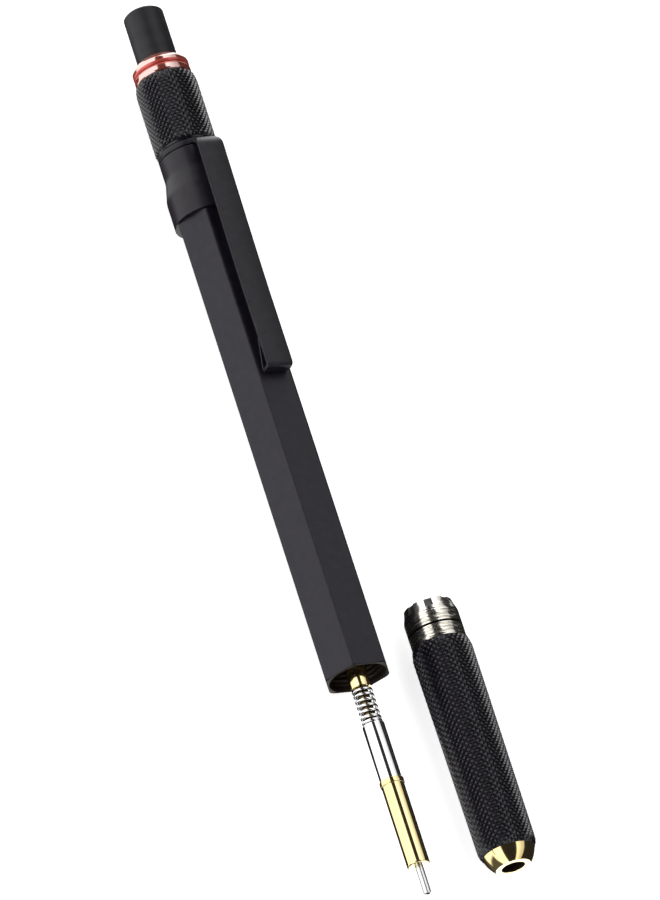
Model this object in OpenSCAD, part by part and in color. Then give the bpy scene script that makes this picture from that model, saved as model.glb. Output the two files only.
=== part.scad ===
// Twist-retracting drafting pencil with a hexagonal barrel, its front grip unscrewed and laid beside it.
// Lengths are in millimetres. Along the pencil, u = 0 is the barrel's open mouth and +u runs to the button.

/* [Barrel] */
// Width across the barrel's flats
af = 8.5; // [7.5:0.1:10]
// Length of the hexagonal part
barrel_len = 71.95; // [60:0.05:90]
// Bore at the mouth, radius
mouth_bore_r = 3.94; // [3.7:0.01:4.2]
// Depth of the wide mouth bore
mouth_depth = 8; // [5:0.5:12]
// Bore behind the mouth, radius
barrel_bore_r = 3.6; // [3:0.05:3.9]
// Height along u where the bore narrows for the cam
bore_step_u = 69; // [66:0.5:70]
// Narrow bore radius, a running fit for the cam sleeve
cam_bore_r = 3.37; // [3.3:0.01:3.5]
// Outer radius of the turned neck above the hexagon
neck_r = 3.9; // [3.7:0.05:4]
// Top of the neck
neck_top = 83.25; // [80:0.05:86]

/* [Band] */
// Radius of the band's wide part
band_r = 4.96; // [4.9:0.01:5.5]
// Radius of the band's narrow part and of the clip ring
band_small_r = 4.28; // [4:0.01:4.6]
// End of the wide part
band_wide_top = 76.2; // [74:0.1:79]
// Start of the narrow part
band_small_u = 79.2; // [77:0.1:80]
// Top of the band
band_top = 82.2; // [80:0.1:84]

/* [Clip] */
// Top of the clip's ring
ring_top = 83.3; // [83:0.1:85]
// Width of the clip
clip_w = 3.85; // [3:0.05:5]
// Thickness of the clip's sheet
clip_t = 0.6; // [0.4:0.05:1]
// Distance of the clip's outer face from the pencil's axis, below the bend
clip_r = 7.1; // [6:0.02:8]
// The same distance at the knee, where the plate turns parallel to the barrel
clip_knee_r = 6.66; // [6:0.02:8]
// Place of the knee along u
clip_knee_u = 64; // [60:0.5:70]
// The same distance at the free end
clip_tip_r = 6.55; // [6:0.05:8]
// Radius of the bend at the top, outside
clip_bend = 2.2; // [1:0.1:4]
// Top of the bend along u
clip_bend_top = 82.6; // [81:0.1:84]
// Where the straight part ends and the foot begins
clip_foot_u = 50.6; // [48:0.1:56]
// The clip's free end
clip_end_u = 45.05; // [44:0.05:50]

/* [Twist knob] */
// Radius over the knurl
knob_r = 4.44; // [4:0.01:5]
// Top of the knob
knob_top = 94.7; // [92:0.1:97]
// Radius at the knob's rounded top
knob_top_r = 4.2; // [3.9:0.05:4.4]
// Height of that rounding
knob_round = 1.5; // [0.5:0.1:2]
// Radius of the index ring
index_r = 4.05; // [3.9:0.05:4.4]
// Top of the index ring
index_top = 98.06; // [97:0.02:100]
// Hole in the index ring that the button runs in, radius
button_hole_r = 2.95; // [2.9:0.01:3.1]

/* [Button] */
// Radius of the push button
button_r = 2.87; // [2.5:0.01:3]
// Top of the push button
button_top = 106.16; // [102:0.02:110]
// Lower end of its skirt
button_low = 95; // [94:0.5:97]
// Radius of the edge rounding
button_round = 0.45; // [0.2:0.05:0.8]
// Bore radius of the button
button_bore_r = 2.45; // [2.3:0.01:2.6]

/* [Feed] */
// Radius of the brass lead tube
lead_tube_r = 1.41; // [1.2:0.01:1.6]
// Lower end of the lead tube
lead_tube_low = -1.68; // [-4:0.02:0]
// Radius of the steel housing tube
housing_r = 1.523; // [1.4:0.001:1.7]
// Rear face of the housing tube, which the feed spring sits on
housing_rear = -7.2; // [-9:0.1:-5]
// Radius of the housing's collar
collar_r = 1.68; // [1.6:0.01:1.8]
// Rear face of the collar
collar_rear = -15.63; // [-17:0.01:-14]
// Front face of the collar
collar_front = -16.43; // [-18:0.01:-15]
// Radius of the brass front tube
front_r = 1.57; // [1.4:0.01:1.65]
// Front face of the front tube
front_face = -28.37; // [-30:0.01:-26]
// Radius of the lead pipe
pipe_r = 0.536; // [0.4:0.002:0.7]
// Tip of the lead pipe
pipe_tip = -32.5; // [-34:0.02:-30]
// Radius of the lead
lead_r = 0.28; // [0.15:0.01:0.5]
// Travel of the tip between retracted and writing
travel = 5.26; // [4:0.02:6]
// Travel of the button when pressed
press = 1.6; // [1:0.1:2]

/* [Springs] */
// Outer radius of the feed spring
feed_spring_r = 1.42; // [1.3:0.01:1.5]
// Wire diameter of the feed spring
feed_wire = 0.42; // [0.25:0.01:0.45]
// Pitch of the feed spring
feed_pitch = 0.83; // [0.6:0.01:1.2]
// Outer radius of the return spring
return_spring_r = 2.05; // [1.9:0.01:2.15]
// Wire diameter of the return spring
return_wire = 0.4; // [0.3:0.01:0.5]
// Pitch of the return spring
return_pitch = 1.5; // [1:0.1:2]

/* [Grip] */
// Sideways distance from the pencil's axis to the loose grip's axis
grip_offset = 14.21; // [10:0.01:30]
// Where the loose grip's shoulder lies along u
grip_shoulder_u = 3.86; // [0:0.01:10]
// Sleeve radius at its shoulder
sleeve_r = 4.24; // [4:0.01:4.6]
// Sleeve radius at its front end
sleeve_front_r = 4.07; // [3.8:0.01:4.6]
// Sleeve length
sleeve_len = 31.55; // [28:0.01:34]
// Bore of the sleeve, radius
sleeve_bore_r = 3.4; // [3.1:0.05:3.6]
// Drop in radius at the sleeve's shoulder
sleeve_drop = 0.25; // [0.1:0.05:0.5]
// Drop in radius at the sleeve's front end
front_drop = 0.37; // [0.1:0.01:0.5]
// Length over which the sleeve tapers at its shoulder
shoulder_taper = 1.2; // [0.5:0.1:2]
// Length over which the sleeve tapers at its front end
front_taper = 1.25; // [0.3:0.05:2]
// Total length from shoulder to nose
grip_len = 33.65; // [31:0.01:36]
// Nose radius where it meets the sleeve
nose_r = 3.64; // [3.5:0.01:4]
// Nose radius at its break, where it turns in more steeply
nose_break_r = 3.24; // [3:0.01:3.8]
// Distance of the break from the shoulder
nose_break = 32.55; // [31.5:0.01:33.5]
// Nose radius at its front face
nose_front_r = 2.44; // [2.2:0.01:2.8]
// Hole in the nose, radius
nose_hole_r = 1.62; // [1.58:0.01:1.7]

/* [Thread ring] */
// Radius over the thread
thread_r = 3.86; // [3.6:0.01:3.9]
// Radius at the thread's root
thread_root_r = 3.62; // [3.4:0.01:3.8]
// Pitch of the thread
thread_pitch = 0.5; // [0.35:0.05:0.8]
// Height of the whole ring above the shoulder
thread_ring_h = 6; // [5:0.02:7]
// Height of the run-out groove
groove_h = 2.1; // [1.5:0.1:3]
// Width of the run-out groove
groove_w = 0.32; // [0.2:0.02:0.6]
// Radius at the run-out groove's floor
groove_r = 3.3; // [3.2:0.05:3.6]
// Start of the taper below the castellated rim
rim_u = 4.2; // [3.5:0.05:4.5]
// Radius of the castellated rim
rim_r = 3.42; // [3.1:0.01:3.6]
// Bore of the ring, radius
ring_bore_r = 2.95; // [2.9:0.01:3.1]
// Number of notches in the rim
notches = 8; // [6:1:12]
// Width of each notch
notch_w = 1.1; // [0.4:0.05:1.4]
// Depth of each notch along the axis
notch_d = 1.3; // [0.5:0.1:1.5]
// Distance of each notch's flat floor from the axis
notch_floor = 3.15; // [3.1:0.01:3.3]
// Turn of the first notch round the axis
notch_turn = 19.6; // [0:0.1:45]

/* [Hidden] */
$fn = 64;
over = 1;
gap = 0.05;
pen_z = band_r;
left_edge = -band_r;
right_edge = grip_offset + sleeve_r;
pen_x = -(left_edge + right_edge) / 2;
mid_u = (button_top + pipe_tip) / 2;
hex_r = af / 2 / cos(30);
mouth_chamfer = 0.2;
tip_round = 0.7;
tip_wall = 0.5;
lip_t = 0.38;
top_chamfer = 0.3;
cam_lower_r = cam_bore_r - 0.07;
cam_upper_r = 3.8;
guide_r = 2.65;
guide_bore_r = 2.2;
guide_low = 56;
guide_plug = 2;
guide_top = 80.5;
cam_lower_bore = guide_r + 0.07;
cam_upper_bore = 3;
cam_step_u = ring_top + gap;
index_spigot_r = 3.4;
index_spigot_low = 91.5;
pin_r = 0.5;
pin_u = 76.5;
pin_clear = 0.1;
carriage_low = 70;
carriage_top = 79;
carriage_r = guide_bore_r - 0.07;
cam_steps = 24;
cam_turn = 180;
snap_u = 81;
snap_t = 0.6;
holder_r = button_bore_r - 0.07;
holder_bore_r = 2.05;
holder_low = 88;
holder_top = 97;
lead_tube_bore = 1.05;
lead_tube_top = holder_low;
stem_r = 0.8;
jaw_r = 0.93;
flare_r = 1.1;
flare_front = -24.1;
chuck_plug_top = 2;
chamber_r = 1.3;
chamber_step = -23.9;
chamber_step_r = 1.15;
chamber_end = -25.9;
retainer_end = -26.9;
retainer_r = 0.95;
pipe_root_r = 0.62;
clutch_rear = -22.2;
clutch_front = -23.4;

module on_pencil() {
  translate([pen_x, -mid_u, pen_z]) rotate([-90, 0, 0]) children();
}

module on_grip() {
  translate([pen_x + grip_offset, grip_shoulder_u - mid_u, sleeve_r]) rotate([-90, 0, 0]) children();
}

module rod(r, low, top) {
  translate([0, 0, low]) cylinder(r = r, h = top - low);
}

module pipe(r, bore, low, top) {
  difference() {
    rod(r, low, top);
    rod(bore, low - over, top + over);
  }
}

module hexagon(low, top) {
  translate([0, 0, low]) linear_extrude(height = top - low) circle(r = hex_r, $fn = 6);
}

// A coil whose wire is round in the plane of its axis, with ends ground flat.
module coil(r, wire, pitch, low, top) {
  n = 4;
  mean = r - wire / 2;
  half = 180 * wire / pitch;
  turns = (top - low) / pitch;
  outer = [for (i = [-n : n]) let(a = half * i / n, w = wire / 2 * sqrt(1 - pow(i / n, 2)))
    [(mean + w) * cos(a), (mean + w) * sin(a)]];
  inner = [for (i = [n - 1 : -1 : 1 - n]) let(a = half * i / n, w = wire / 2 * sqrt(1 - pow(i / n, 2)))
    [(mean - w) * cos(a), (mean - w) * sin(a)]];
  translate([0, 0, low]) linear_extrude(height = top - low, twist = -360 * turns, slices = ceil(16 * turns),
    $fn = 1) polygon(concat(outer, inner));
}

// Hexagonal tube with a turned neck that carries the band, the clip ring and the knob.
module barrel() {
  color("#26272a") on_pencil() difference() {
    union() {
      intersection() {
        hexagon(0, barrel_len);
        rotate_extrude() polygon([[0, 0], [hex_r - mouth_chamfer, 0], [hex_r + over, mouth_chamfer + over],
          [hex_r + over, barrel_len - top_chamfer - over], [hex_r - top_chamfer, barrel_len],
          [0, barrel_len]]);
      }
      rod(neck_r, barrel_len, neck_top);
    }
    rod(mouth_bore_r, -over, mouth_depth);
    rod(barrel_bore_r, 0, bore_step_u);
    rod(cam_bore_r, 0, neck_top + over);
    rod(cam_bore_r + 0.15, snap_u, snap_u + snap_t);
  }
}

// Turned band that covers the end of the hexagon.
module clip_band() {
  color("#1d1e20") on_pencil() rotate_extrude() polygon([[neck_r, barrel_len], [band_r, barrel_len],
    [band_r, band_wide_top], [band_small_r, band_small_u], [band_small_r, band_top], [neck_r, band_top]]);
}

// Washer end of the clip, clamped between the band and the knob.
module clip_ring() {
  color("#202124") on_pencil() pipe(band_small_r + 0.02, neck_r, band_top, ring_top);
}

// Side outline of the clip: the root, the bend, the spring with a slight knee, and the tip, which turns
// down to the barrel and folds back as a sloping lip.
module clip_outline() {
  steps = 12;
  tip_steps = 6;
  bend_u = clip_bend_top - clip_bend;
  bend_r = clip_r - clip_bend;
  inner = clip_bend - clip_t;
  foot_r = af / 2 + gap;
  under_r = clip_tip_r - clip_t;
  lip_u = clip_end_u + tip_round;
  slope = (under_r - foot_r) / (clip_foot_u - lip_u);
  hole_u = clip_end_u + tip_wall;
  outer_bend = [for (k = [0 : steps]) let(a = 90 - 90 * k / steps)
    [bend_u + clip_bend * cos(a), bend_r + clip_bend * sin(a)]];
  inner_bend = [for (k = [0 : steps]) let(a = 90 * k / steps)
    [bend_u + inner * cos(a), bend_r + inner * sin(a)]];
  tip_bend = [for (k = [0 : tip_steps]) let(a = 180 - 90 * k / tip_steps)
    [clip_end_u + tip_round + tip_round * cos(a), clip_tip_r - tip_round + tip_round * sin(a)]];
  difference() {
    polygon(concat([[lip_u, foot_r], [clip_end_u, foot_r + lip_t]], tip_bend, [[clip_knee_u, clip_knee_r]],
      outer_bend, [[ring_top, neck_r - 0.4], [ring_top - clip_t, neck_r - 0.4]], inner_bend,
      [[clip_knee_u, clip_knee_r - clip_t], [clip_foot_u, under_r]]));
    polygon([[hole_u, foot_r + lip_t - slope * (lip_u - hole_u)], [hole_u, under_r],
      [clip_foot_u - lip_t / slope, under_r]]);
  }
}

// Spring arm of the clip.
module clip_arm() {
  color("#2b2c30") on_pencil() difference() {
    rotate([180, 0, 0]) rotate([0, 90, 0]) translate([0, 0, -clip_w / 2])
      linear_extrude(height = clip_w) clip_outline();
    rod(band_small_r + 0.02 + gap, clip_knee_u, ring_top + over);
  }
}

// Slotted tube that keeps the follower from turning, with the plug that the return spring stands on.
module cam_guide() {
  color("#b9bcc0") on_pencil() difference() {
    union() {
      rod(guide_r, guide_low, guide_top);
      rod(barrel_bore_r, guide_low, guide_low + guide_plug);
    }
    rod(guide_bore_r, guide_low + guide_plug, guide_top + over);
    rod(lead_tube_r + gap, guide_low - over, guide_low + guide_plug + over);
    translate([-pin_r - gap, 0, pin_u - travel - press - pin_r - pin_clear])
      cube([2 * pin_r + 2 * gap, barrel_bore_r, travel + press + 2 * pin_r + 2 * pin_clear]);
  }
}

// Ring in a groove of the neck that keeps the cam sleeve and the knob from pulling out.
module snap_ring() {
  color("#8d9094") on_pencil() pipe(cam_bore_r + 0.15, cam_lower_r - 0.15, snap_u, snap_u + snap_t);
}

// Spring that pushes the feed back up against the cam.
module return_spring() {
  color("#9a9da1") on_pencil()
    coil(return_spring_r, return_wire, return_pitch, guide_low + guide_plug, carriage_low);
}

// Grip of the twist mechanism.
module twist_knob() {
  color("#232427") on_pencil() difference() {
    union() {
      rod(knob_r, cam_step_u + 0.3, knob_top - knob_round);
      translate([0, 0, cam_step_u]) cylinder(r1 = knob_r - 0.3, r2 = knob_r, h = 0.3);
      translate([0, 0, knob_top - knob_round]) cylinder(r1 = knob_r, r2 = knob_top_r, h = knob_round);
    }
    rod(cam_upper_r, 0, knob_top + over);
  }
}

// Coloured ring with a groove around its waist and a rounded shoulder.
module index_ring() {
  groove_u = 96.05;
  shoulder = index_top - groove_u - 0.25;
  color("#b3202c") on_pencil() difference() {
    union() {
      rod(index_spigot_r, index_spigot_low, knob_top);
      rod(index_r, knob_top, groove_u - 0.25);
      rod(index_r - 0.3, knob_top, groove_u + 0.25);
      rotate_extrude() intersection() {
        union() {
          translate([index_r - shoulder, groove_u + 0.25]) circle(r = shoulder);
          translate([0, groove_u + 0.25]) square([index_r - shoulder, shoulder]);
        }
        translate([0, groove_u + 0.25]) square([index_r, shoulder]);
      }
    }
    rod(button_hole_r, 0, index_top + over);
  }
}

// Sleeve whose lower edge is a helical ramp that drives the follower forward.
module cam_sleeve() {
  color("#a8874a") on_pencil() difference() {
    union() {
      rod(cam_lower_r, 71.5, cam_step_u);
      rod(cam_upper_r, cam_step_u, knob_top);
    }
    rod(cam_lower_bore, 0, cam_step_u + over);
    rod(cam_upper_bore, cam_step_u, knob_top + over);
    rod(index_spigot_r, index_spigot_low, knob_top + over);
    pipe(cam_lower_r + over, cam_lower_r - 0.2, snap_u - 0.1, snap_u + snap_t + 0.1);
    for (k = [0 : cam_steps]) let(t = k / cam_steps)
      rotate([0, 0, 90 - cam_turn * t]) translate([0, 0, pin_u - travel * t]) {
        rotate([0, 90, 0]) cylinder(r = pin_r + pin_clear, h = cam_upper_r + over);
        translate([0, -pin_r - pin_clear, -20]) cube([cam_upper_r + over, 2 * pin_r + 2 * pin_clear, 20]);
      }
  }
}

// Steel tube that houses the stem of the chuck; the feed spring stands on its rear face.
module housing_tube() {
  color("#c3c6ca") on_pencil() difference() {
    rod(housing_r, collar_rear, housing_rear);
    rod(stem_r + 0.07, collar_rear - over, housing_rear + over);
    rod(chamber_r - gap, collar_rear - over, housing_rear - 1);
  }
}

// Brass front tube with the collar that stops inside the nose.
module front_tube() {
  color("#c9a552") on_pencil() difference() {
    union() {
      translate([0, 0, front_face]) cylinder(r1 = front_r - 0.2, r2 = front_r, h = 0.2);
      rod(front_r, front_face + 0.2, collar_front);
      rod(collar_r, collar_front, collar_rear);
      rod(chamber_r - gap, collar_rear, collar_rear + 2.6);
    }
    rod(stem_r + 0.15, collar_front, collar_rear + 3 + over);
    rod(chamber_r, chamber_step, collar_front);
    rod(chamber_step_r, chamber_end, chamber_step);
    rod(retainer_r, retainer_end, chamber_end);
    rod(pipe_root_r, front_face - over, retainer_end);
  }
}

// Fixed sleeve that supports the lead at the point.
module lead_pipe() {
  color("#b4b7bb") on_pencil() difference() {
    union() {
      rod(pipe_r, pipe_tip, front_face);
      rod(pipe_root_r, front_face, retainer_end);
    }
    rod(lead_r + gap, pipe_tip - over, retainer_end + over);
  }
}

// Rubber bush that holds the lead while the jaws go back.
module lead_retainer() {
  color("#30312f") on_pencil() pipe(retainer_r, lead_r + 0.02, retainer_end, chamber_end);
}

// Spring between the housing and the lead tube.
module feed_spring() {
  color("#a7aaae") on_pencil() coil(feed_spring_r, feed_wire, feed_pitch, housing_rear, lead_tube_low);
}

// Ring that closes the jaws.
module chuck_ring() {
  color("#c9a552") on_pencil() pipe(chamber_r - gap, jaw_r + gap, clutch_front, clutch_rear);
}

// Three-jaw chuck on its stem.
module chuck() {
  color("#b98f3f") on_pencil() difference() {
    union() {
      rod(stem_r, clutch_rear + 2, lead_tube_low);
      rod(lead_tube_bore, lead_tube_low, chuck_plug_top);
      rod(jaw_r, clutch_front - 0.1, clutch_rear + 2);
      translate([0, 0, flare_front]) cylinder(r1 = flare_r, r2 = jaw_r, h = clutch_front - 0.1 - flare_front);
    }
    rod(lead_r, flare_front - over, chuck_plug_top + over);
    for (a = [0 : 120 : 240]) rotate([0, 0, a]) translate([0, -0.07, flare_front - over])
      cube([flare_r + over, 0.14, 5 + over]);
  }
}

// Long tube that holds the spare leads and carries the button's push down to the chuck.
module lead_tube() {
  color("#c2a159") on_pencil() pipe(lead_tube_r, lead_tube_bore, lead_tube_low, lead_tube_top);
}

// Lead held in the jaws.
module lead() {
  color("#3a3b3d") on_pencil() rod(lead_r, pipe_tip + 0.4, chuck_plug_top + 10);
}

// Spare leads inside the tube.
module spare_lead(a) {
  rotate([0, 0, a]) translate([0.62, 0, 0]) rod(lead_r, 14, 74);
}

module spare_lead_a() {
  color("#3a3b3d") on_pencil() spare_lead(30);
}

module spare_lead_b() {
  color("#3a3b3d") on_pencil() spare_lead(150);
}

// Runner fixed on the lead tube, which takes the spring's push.
module carriage() {
  color("#b5b8bc") on_pencil() difference() {
    pipe(carriage_r, lead_tube_r, carriage_low, carriage_top);
    translate([0, 0, pin_u]) rotate([-90, 0, 0]) cylinder(r = pin_r, h = guide_r);
  }
}

// Pin that follows the cam.
module follower_pin() {
  color("#8d9094") on_pencil() difference() {
    translate([0, 0, pin_u]) rotate([-90, 0, 0]) cylinder(r = pin_r, h = cam_lower_r - gap);
    rod(lead_tube_r, pin_u - 2, pin_u + 2);
  }
}

// Cup on top of the lead tube, which the button caps.
module eraser_holder() {
  color("#c0c3c7") on_pencil() difference() {
    union() {
      rod(holder_r, holder_low, holder_top);
      rod(lead_tube_bore, holder_low - 3, holder_low);
    }
    rod(holder_bore_r, holder_low + 1, holder_top + over);
  }
}

// Eraser, which is pulled out to refill the tube.
module eraser() {
  color("#e8e6df") on_pencil() rod(holder_bore_r, holder_low + 1, holder_top + 6.5);
}

// Push button, a cap with a rounded edge.
module push_button() {
  roof = 1.2;
  color("#242528") on_pencil() difference() {
    union() {
      rod(button_r, button_low, button_top - button_round);
      rod(button_r - button_round, button_low, button_top);
      rotate_extrude() translate([button_r - button_round, button_top - button_round])
        circle(r = button_round);
    }
    rod(button_bore_r, button_low - over, button_top - roof);
  }
}

// Turned outline of the thread ring, with V grooves for the thread and a wide run-out groove.
module thread_outline() {
  grooves = floor((groove_h - 0.45) / thread_pitch);
  upper = floor((rim_u - groove_h - 0.55) / thread_pitch);
  difference() {
    polygon([[ring_bore_r, -8], [sleeve_bore_r, -8], [sleeve_bore_r, 0], [thread_r, 0], [thread_r, rim_u],
      [rim_r, thread_ring_h], [ring_bore_r, thread_ring_h]]);
    for (k = [0 : grooves - 1]) translate([thread_root_r, 0.3 + thread_pitch * (k + 0.5)])
      polygon([[0, 0], [1, -0.9], [1, 0.9]]);
    translate([groove_r, groove_h - groove_w / 2]) square([1, groove_w]);
    for (k = [0 : upper - 1]) translate([thread_root_r, groove_h + 0.35 + thread_pitch * (k + 0.5)])
      polygon([[0, 0], [1, -0.9], [1, 0.9]]);
  }
}

// Threaded insert of the grip. The tapered rim has blind notches that are open at the top.
module thread_ring() {
  color("#c4c3bd") on_grip() difference() {
    rotate_extrude() thread_outline();
    for (a = [notch_turn : 360 / notches : 359]) rotate([0, 0, a])
      translate([notch_floor, -notch_w / 2, thread_ring_h - notch_d])
        cube([thread_r, notch_w, notch_d + over]);
  }
}

// Knurled outer sleeve of the grip.
module grip_sleeve() {
  color("#202124") on_grip() rotate_extrude() polygon([[sleeve_bore_r, -sleeve_len],
    [sleeve_front_r - front_drop, -sleeve_len], [sleeve_front_r, -sleeve_len + front_taper],
    [sleeve_r, -shoulder_taper], [sleeve_r - sleeve_drop, 0], [sleeve_bore_r, 0]]);
}

// Nose with its inner seat, which stops the housing's collar.
module nose_cone() {
  seat = -21.75;
  color("#d6ac4c") on_grip() difference() {
    union() {
      rotate_extrude() polygon([[0, -grip_len], [nose_front_r, -grip_len], [nose_break_r, -nose_break],
        [nose_r, -sleeve_len], [0, -sleeve_len]]);
      rod(sleeve_bore_r, -sleeve_len, seat + 3);
    }
    rod(nose_hole_r, -grip_len - over, seat + over);
    rod(guide_bore_r, seat, seat + 3 + over);
  }
}

barrel();
clip_band();
clip_ring();
clip_arm();
cam_guide();
snap_ring();
return_spring();
twist_knob();
index_ring();
cam_sleeve();
housing_tube();
front_tube();
lead_pipe();
lead_retainer();
feed_spring();
chuck_ring();
chuck();
lead_tube();
lead();
spare_lead_a();
spare_lead_b();
carriage();
follower_pin();
eraser_holder();
eraser();
push_button();
thread_ring();
grip_sleeve();
nose_cone();
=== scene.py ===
import math

import bmesh
import bpy
from mathutils import Matrix, Vector


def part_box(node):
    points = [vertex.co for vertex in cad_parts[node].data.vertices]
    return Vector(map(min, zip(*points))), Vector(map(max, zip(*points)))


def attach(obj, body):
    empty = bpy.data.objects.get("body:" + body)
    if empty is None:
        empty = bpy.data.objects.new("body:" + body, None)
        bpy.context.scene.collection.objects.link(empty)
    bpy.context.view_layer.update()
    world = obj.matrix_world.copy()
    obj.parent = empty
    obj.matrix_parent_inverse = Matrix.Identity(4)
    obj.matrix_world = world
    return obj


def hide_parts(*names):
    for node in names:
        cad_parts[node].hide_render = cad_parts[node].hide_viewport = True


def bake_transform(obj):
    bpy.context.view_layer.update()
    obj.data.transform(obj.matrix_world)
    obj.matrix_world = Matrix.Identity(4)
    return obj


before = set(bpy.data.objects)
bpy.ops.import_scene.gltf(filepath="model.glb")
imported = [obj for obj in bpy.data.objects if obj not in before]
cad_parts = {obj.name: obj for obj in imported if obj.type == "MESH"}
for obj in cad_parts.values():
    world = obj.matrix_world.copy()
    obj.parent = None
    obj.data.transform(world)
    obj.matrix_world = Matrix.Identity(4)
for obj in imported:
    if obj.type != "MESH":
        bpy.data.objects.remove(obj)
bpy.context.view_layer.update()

MM = 0.001
TAU = 2 * math.pi
MERGE = 2e-7  # metres; closer vertices become one
scene = bpy.context.scene

# Lengths below are in millimetres unless a comment says otherwise. A place is measured along an axis:
# the pencil's starts at the barrel's mouth, and the loose grip's at the back end of its knurl. Both run
# towards the push button's end. An outline's points are (radius, place) or (radius, place, rounding).


# ---------------------------------------------------------------- places in the row frame

def centre_of(node):
    low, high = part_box(node)
    return (low + high) / 2


PENCIL = Vector((centre_of("push_button").x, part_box("barrel")[0].y, centre_of("push_button").z))
GRIP = Vector((centre_of("grip_sleeve").x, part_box("grip_sleeve")[1].y, centre_of("grip_sleeve").z))


def along(axis, node, end):
    """Where a node's low (0) or high (1) end is along an axis, in mm."""
    return (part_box(node)[end].y - axis.y) / MM


def radius_of(node):
    low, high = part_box(node)
    return (high.x - low.x) / 2 / MM


# ---------------------------------------------------------------- mesh helpers

def finish_mesh(name, verts, faces, materials, sharp=32, face_material=None):
    """An object from vertices in the row frame, with its normals outward and its sharp edges marked."""
    mesh = bpy.data.meshes.new(name)
    mesh.from_pydata([tuple(v) for v in verts], [], faces)
    for material in materials:
        mesh.materials.append(material)
    if face_material:
        for poly in mesh.polygons:
            poly.material_index = face_material(poly.index)
    bm = bmesh.new()
    bm.from_mesh(mesh)
    bmesh.ops.remove_doubles(bm, verts=bm.verts, dist=MERGE)
    bmesh.ops.dissolve_degenerate(bm, edges=bm.edges, dist=MERGE)
    bmesh.ops.recalc_face_normals(bm, faces=bm.faces)
    bm.to_mesh(mesh)
    bm.free()
    mesh.shade_smooth()
    mesh.set_sharp_from_angle(angle=math.radians(sharp))
    obj = bpy.data.objects.new(name, mesh)
    scene.collection.objects.link(obj)
    return obj


def rounded(points, closed=True, steps=4):
    """Points (a, b) or (a, b, radius); a corner with a radius becomes an arc."""
    out = []
    count = len(points)
    for i, p in enumerate(points):
        if len(p) == 2 or (not closed and i in (0, count - 1)):
            out.append((p[0], p[1]))
            continue
        here = Vector(p[:2])
        before = (Vector(points[i - 1][:2]) - here).normalized()
        after = (Vector(points[(i + 1) % count][:2]) - here).normalized()
        half = before.angle(after) / 2
        reach = p[2] / math.tan(half)
        middle = here + (before + after).normalized() * (p[2] / math.sin(half))
        start = here + before * reach - middle
        turn = start.angle_signed(here + after * reach - middle)
        for k in range(steps + 1):
            a = -turn * k / steps
            out.append((middle.x + start.x * math.cos(a) - start.y * math.sin(a),
                        middle.y + start.x * math.sin(a) + start.y * math.cos(a)))
    return out


def grid(rings, closed_rows=True):
    """Vertices and quads of a list of rings of equal length, each ring closed."""
    n = len(rings[0])
    verts = [v for ring in rings for v in ring]
    faces = []
    rows = len(rings)
    for i in range(rows if closed_rows else rows - 1):
        j = (i + 1) % rows
        for k in range(n):
            m = (k + 1) % n
            faces.append((i * n + k, i * n + m, j * n + m, j * n + k))
    return verts, faces


def capped(rings):
    """The skin of a row of closed rings, with a flat face over each end."""
    verts, faces = grid(rings, closed_rows=False)
    n = len(rings[0])
    last = len(verts) - n
    return verts, faces + [tuple(range(n)), tuple(range(last, last + n))]


def at(axis, r, u, a):
    """The point at a radius, a place along an axis and an angle round it."""
    return axis + Vector((r * math.cos(a), u, r * math.sin(a))) * MM


def revolve(axis, profile, n=96, closed=True):
    """A profile of (radius, place along the axis) in mm, turned round an axis."""
    rings = [[at(axis, r, u, TAU * k / n) for k in range(n)] for r, u in profile]
    return grid(rings, closed_rows=closed)


def lathe(name, axis, profile, materials, n=96, sharp=32):
    """A turned piece, as an object."""
    verts, faces = revolve(axis, profile, n)
    return finish_mesh(name, verts, faces, materials, sharp)


def paint_inside(obj, axis, radius, low, material):
    """Give the faces of a bore another material, from a place along the axis upward; here it paints the
    shade inside the nose's bore.
    """
    obj.data.materials.append(material)
    for poly in obj.data.polygons:
        place = (poly.center - axis) / MM
        if math.hypot(place.x, place.z) < radius and place.y > low:
            poly.material_index = len(obj.data.materials) - 1


KNURL_DEPTH = 0.20
KNURL_FLAT = 0.32  # of a diamond's width, at its top
RUNOUT_START, RUNOUT_RISE = 0.45, 0.5  # share of the depth at the knurl's ends, and its rise per mm


def groove_under(envelope, low, high):
    """The radius of the knurl's grooves, which run out towards both ends."""
    def groove(u):
        share = min(1, RUNOUT_START + RUNOUT_RISE * min(u - low, high - u))
        return envelope(u) - KNURL_DEPTH * share
    return groove


def knurl(axis, low, high, rows, starts, top_radius, groove_radius):
    """Crossed helical grooves between two places on an axis: each diamond is a flat-topped pyramid."""
    step = (high - low) / rows
    verts, faces, corner = [], [], {}

    def vertex(row, k, r):
        u = low + row * step
        verts.append(at(axis, r(u), u, math.pi * k / starts))
        return len(verts) - 1

    def groove_vertex(row, k):
        key = (row, k % (2 * starts))
        if key not in corner:
            corner[key] = vertex(row, k, groove_radius)
        return corner[key]

    for row in range(rows + 1):
        for k in range(2 * starts):
            if (row + k) % 2 == 0:
                continue
            below, above = max(row - 1, 0), min(row + 1, rows)
            centre_row = (row + below + row + above) / 4 if row in (0, rows) else row
            places = [(below, k), (row, k + 1), (above, k), (row, k - 1)]
            edge = [groove_vertex(*p) for p in places]
            top = [vertex(centre_row + (p[0] - centre_row) * KNURL_FLAT, k + (p[1] - k) * KNURL_FLAT,
                          top_radius) for p in places]
            faces.append(tuple(top))
            for i in range(4):
                faces.append((edge[i], edge[(i + 1) % 4], top[(i + 1) % 4], top[i]))
    return verts, faces


def joined(*parts):
    """The vertices and faces of several (vertices, faces) as one pair."""
    verts, faces = [], []
    for v, f in parts:
        base = len(verts)
        verts += v
        faces += [tuple(i + base for i in face) for face in f]
    return verts, faces


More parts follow.
